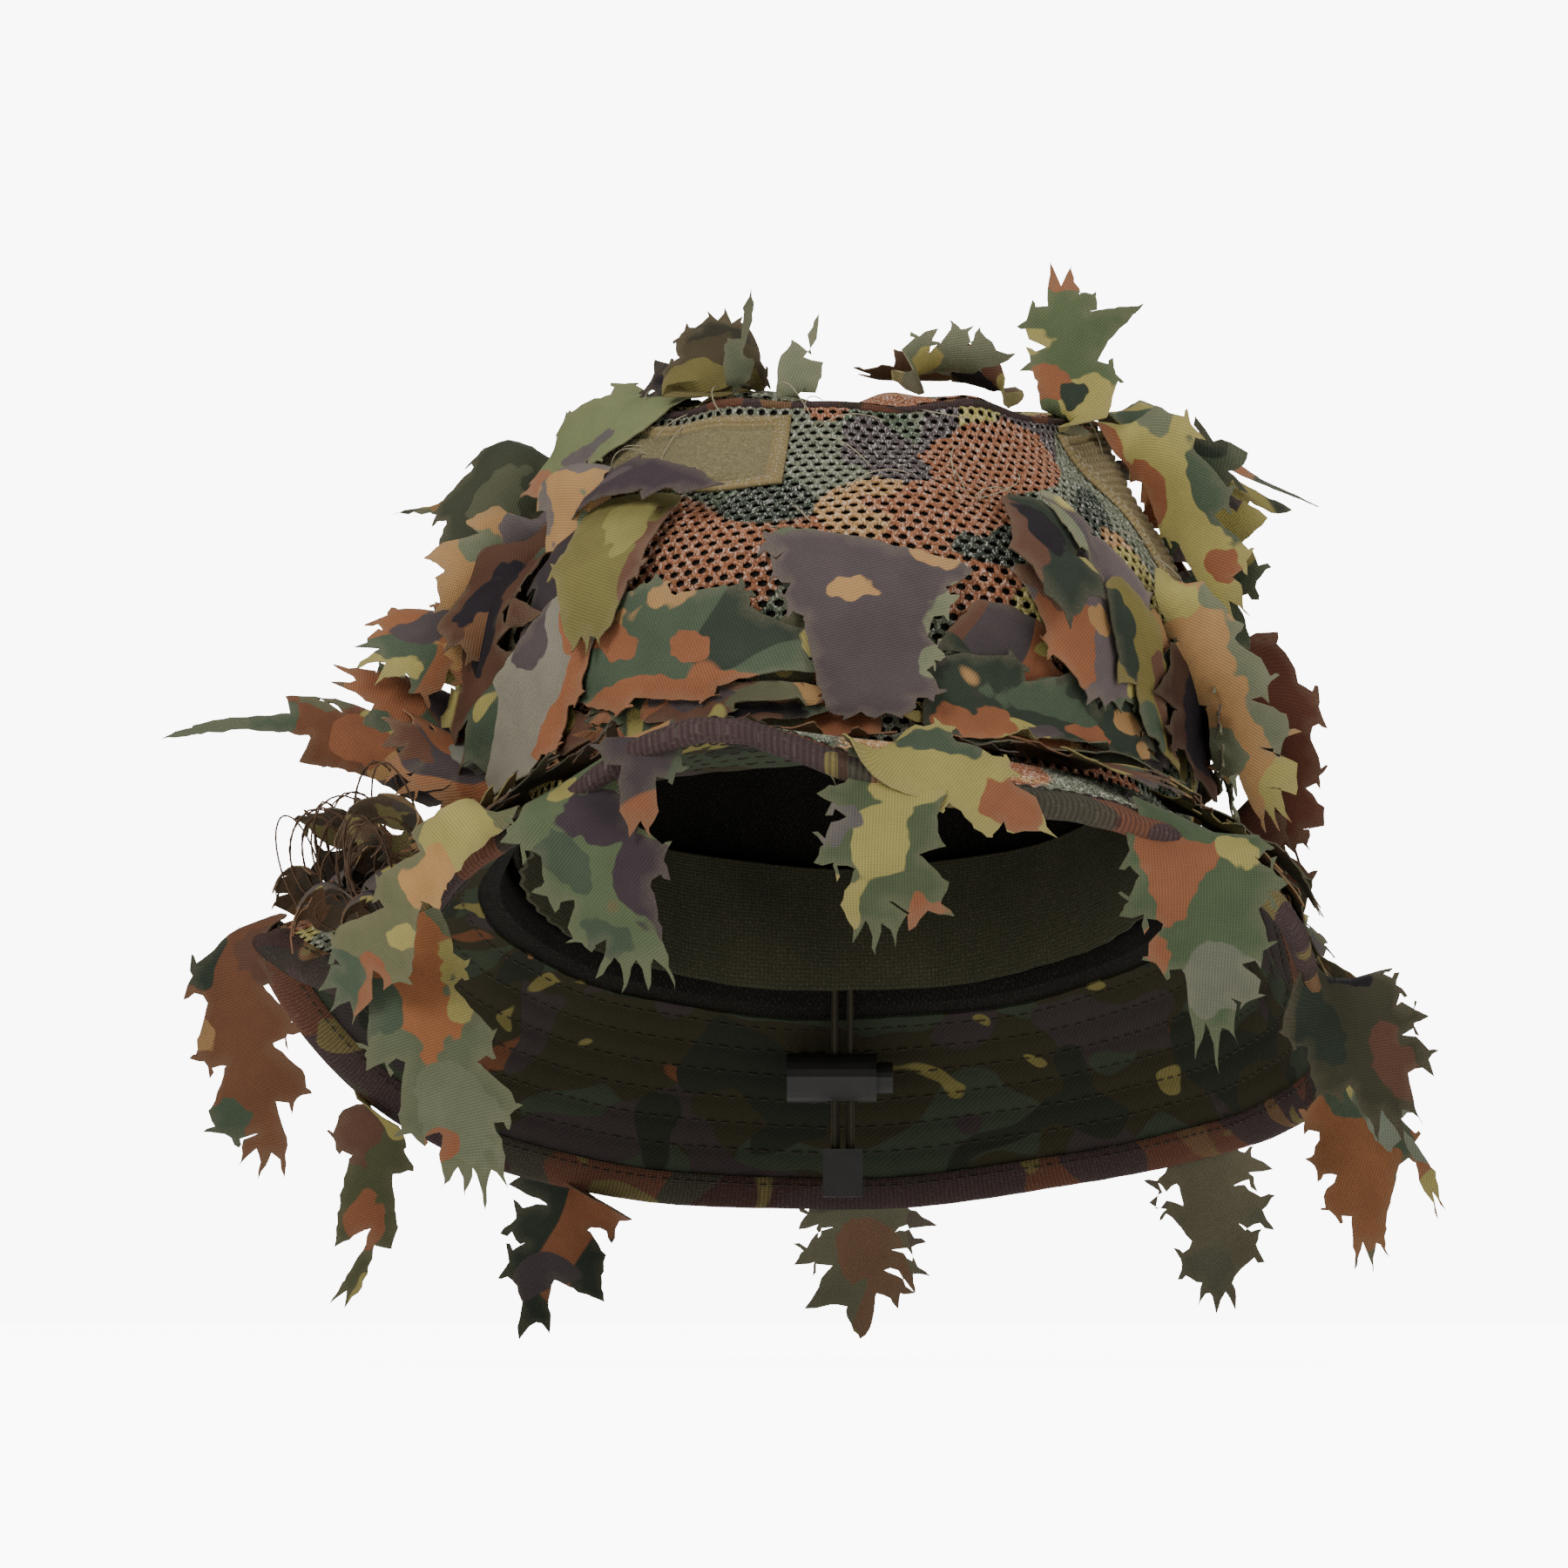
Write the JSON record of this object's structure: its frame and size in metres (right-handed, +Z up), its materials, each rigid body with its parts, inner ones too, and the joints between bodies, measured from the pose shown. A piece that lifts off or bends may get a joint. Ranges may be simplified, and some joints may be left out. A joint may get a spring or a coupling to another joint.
{
  "type": "leaf camouflage bush hat",
  "caption": "Soft-crowned mesh bush hat with a drooping quilted brim, covered in stitched-on camouflage cloth leaves, with hook-and-loop panels and a nape drawcord.",
  "frame": {"origin": "under the middle of the hat's box, level with its lowest leaf tip, with the hat as worn", "axes": "+Z up, the front of the hat faces -Y, +X is the wearer's left"},
  "size_m": [0.2797, 0.3042, 0.2558],
  "materials": {
    "leaf_fabric": "matte printed leaf-camouflage cloth with raw frayed edges",
    "mesh_fabric": "matte printed camouflage spacer mesh with open cells",
    "twill": "matte printed camouflage twill, stitched in rings",
    "interlining": "matte woven stiffener",
    "binding": "matte woven tape",
    "loop_pile": "olive loop pile",
    "sweatband": "matte cotton tape",
    "cord": "braided elastic cord",
    "lock_plastic": "moulded, fine grain",
    "spring_steel": "drawn wire"
  },
  "bodies": {
    "hat": {"brim_binding": "binding", "brim_interlining": "interlining", "brim_lower_layer": "twill", "brim_upper_layer": "mesh_fabric", "cord_end_bead": "lock_plastic", "crown_back_panel": "mesh_fabric", "crown_front_panel": "mesh_fabric", "crown_top_panel": "mesh_fabric", "crown_top_piping": "binding", "drawcord": "cord", "leaf_brim_back": "leaf_fabric", "leaf_brim_back_left": "leaf_fabric", "leaf_brim_back_right": "leaf_fabric", "leaf_brim_front_left": "leaf_fabric", "leaf_brim_front_right": "leaf_fabric", "leaf_brim_left": "leaf_fabric", "leaf_brim_right": "leaf_fabric", "leaf_crown_back": "leaf_fabric", "leaf_crown_back_left": "leaf_fabric", "leaf_crown_back_left_low": "leaf_fabric", "leaf_crown_back_right": "leaf_fabric", "leaf_crown_back_right_low": "leaf_fabric", "leaf_crown_front": "leaf_fabric", "leaf_crown_front_left": "leaf_fabric", "leaf_crown_front_left_upper": "leaf_fabric", "leaf_crown_front_right": "leaf_fabric", "leaf_crown_left_low": "leaf_fabric", "leaf_crown_left_shoulder": "leaf_fabric", "leaf_crown_left_side": "leaf_fabric", "leaf_crown_left_upper": "leaf_fabric", "leaf_crown_right_back": "leaf_fabric", "leaf_crown_right_side": "leaf_fabric", "leaf_stand_left_brim": "leaf_fabric", "leaf_stand_left_shoulder": "leaf_fabric", "leaf_stand_right_back": "leaf_fabric", "leaf_stand_right_shoulder": "leaf_fabric", "leaf_stand_top_left": "leaf_fabric", "leaf_stand_top_middle": "leaf_fabric", "leaf_stand_top_right": "leaf_fabric", "leaf_top_back": "leaf_fabric", "loop_panel_front_left": "loop_pile", "loop_panel_right": "loop_pile", "side_seam_tape_left": "sweatband", "side_seam_tape_right": "sweatband", "sweatband": "sweatband"},
    "leaf_hang_back": {"leaf_hang_back": "leaf_fabric"},
    "leaf_hang_back_left": {"leaf_hang_back_left": "leaf_fabric"},
    "leaf_hang_back_right": {"leaf_hang_back_right": "leaf_fabric"},
    "leaf_hang_front": {"leaf_hang_front": "leaf_fabric"},
    "leaf_hang_front_left": {"leaf_hang_front_left": "leaf_fabric"},
    "leaf_hang_front_right": {"leaf_hang_front_right": "leaf_fabric"},
    "leaf_hang_left": {"leaf_hang_left": "leaf_fabric"},
    "leaf_hang_left_back": {"leaf_hang_left_back": "leaf_fabric"},
    "leaf_hang_left_front": {"leaf_hang_left_front": "leaf_fabric"},
    "leaf_hang_right": {"leaf_hang_right": "leaf_fabric"},
    "leaf_hang_right_front": {"leaf_hang_right_front": "leaf_fabric"},
    "cord_lock": {"cord_lock_barrel": "lock_plastic", "cord_lock_spring": "spring_steel"},
    "cord_lock_button": {"cord_lock_plunger": "lock_plastic"}
  },
  "joints": [
    {"name": "swing_back", "type": "hinge", "parent": "hat", "child": "leaf_hang_back", "pos_m": [0.01873, 0.14371, 0.04634], "axis": [0.9993, -0.0018, 0.0384], "range_deg": [0, 70], "stiffness_Nm_per_rad": 0.0006},
    {"name": "swing_back_left", "type": "hinge", "parent": "hat", "child": "leaf_hang_back_left", "pos_m": [-0.04977, 0.11873, 0.04961], "axis": [0.8043, 0.5742, -0.1529], "range_deg": [0, 70], "stiffness_Nm_per_rad": 0.0006},
    {"name": "swing_back_right", "type": "hinge", "parent": "hat", "child": "leaf_hang_back_right", "pos_m": [0.09957, 0.10453, 0.05695], "axis": [0.6182, -0.7738, 0.138], "range_deg": [0, 70], "stiffness_Nm_per_rad": 0.0006},
    {"name": "swing_front", "type": "hinge", "parent": "hat", "child": "leaf_hang_front", "pos_m": [0.02434, -0.12951, 0.12402], "axis": [-0.981, -0.1104, 0.1596], "range_deg": [0, 55], "stiffness_Nm_per_rad": 0.0006},
    {"name": "swing_front_left", "type": "hinge", "parent": "hat", "child": "leaf_hang_front_left", "pos_m": [-0.04269, -0.11522, 0.12257], "axis": [-0.7761, 0.4779, -0.4114], "range_deg": [0, 70], "stiffness_Nm_per_rad": 0.0006},
    {"name": "swing_front_right", "type": "hinge", "parent": "hat", "child": "leaf_hang_front_right", "pos_m": [0.08231, -0.10633, 0.11476], "axis": [-0.7657, -0.5963, 0.2412], "range_deg": [0, 70], "stiffness_Nm_per_rad": 0.0006},
    {"name": "swing_left", "type": "hinge", "parent": "hat", "child": "leaf_hang_left", "pos_m": [-0.11653, 0.00294, 0.1021], "axis": [-0.1507, 0.9799, 0.131], "range_deg": [0, 70], "stiffness_Nm_per_rad": 0.0006},
    {"name": "swing_left_back", "type": "hinge", "parent": "hat", "child": "leaf_hang_left_back", "pos_m": [-0.09631, 0.06963, 0.06773], "axis": [0.5614, 0.6933, -0.4518], "range_deg": [0, 70], "stiffness_Nm_per_rad": 0.0006},
    {"name": "swing_left_front", "type": "hinge", "parent": "hat", "child": "leaf_hang_left_front", "pos_m": [-0.07491, -0.08371, 0.10342], "axis": [-0.4543, 0.7651, -0.4563], "range_deg": [0, 70], "stiffness_Nm_per_rad": 0.0006},
    {"name": "swing_right", "type": "hinge", "parent": "hat", "child": "leaf_hang_right", "pos_m": [0.12741, 0.0183, 0.07019], "axis": [0.008, -0.9852, 0.1715], "range_deg": [0, 70], "stiffness_Nm_per_rad": 0.0006},
    {"name": "swing_right_front", "type": "hinge", "parent": "hat", "child": "leaf_hang_right_front", "pos_m": [0.11814, -0.04773, 0.08687], "axis": [-0.2544, -0.9061, 0.338], "range_deg": [0, 70], "stiffness_Nm_per_rad": 0.0006},
    {"name": "cord_lock_slide", "type": "slide", "parent": "hat", "child": "cord_lock", "axis": [0, 0, -1], "range_m": [0, 0.01]},
    {"name": "button_press", "type": "slide", "parent": "cord_lock", "child": "cord_lock_button", "axis": [-1, 0, 0], "range_m": [0, 0.0035], "stiffness_N_per_m": 600, "springref_m": -0.002, "deforming": ["cord_lock_spring"]}
  ]
}
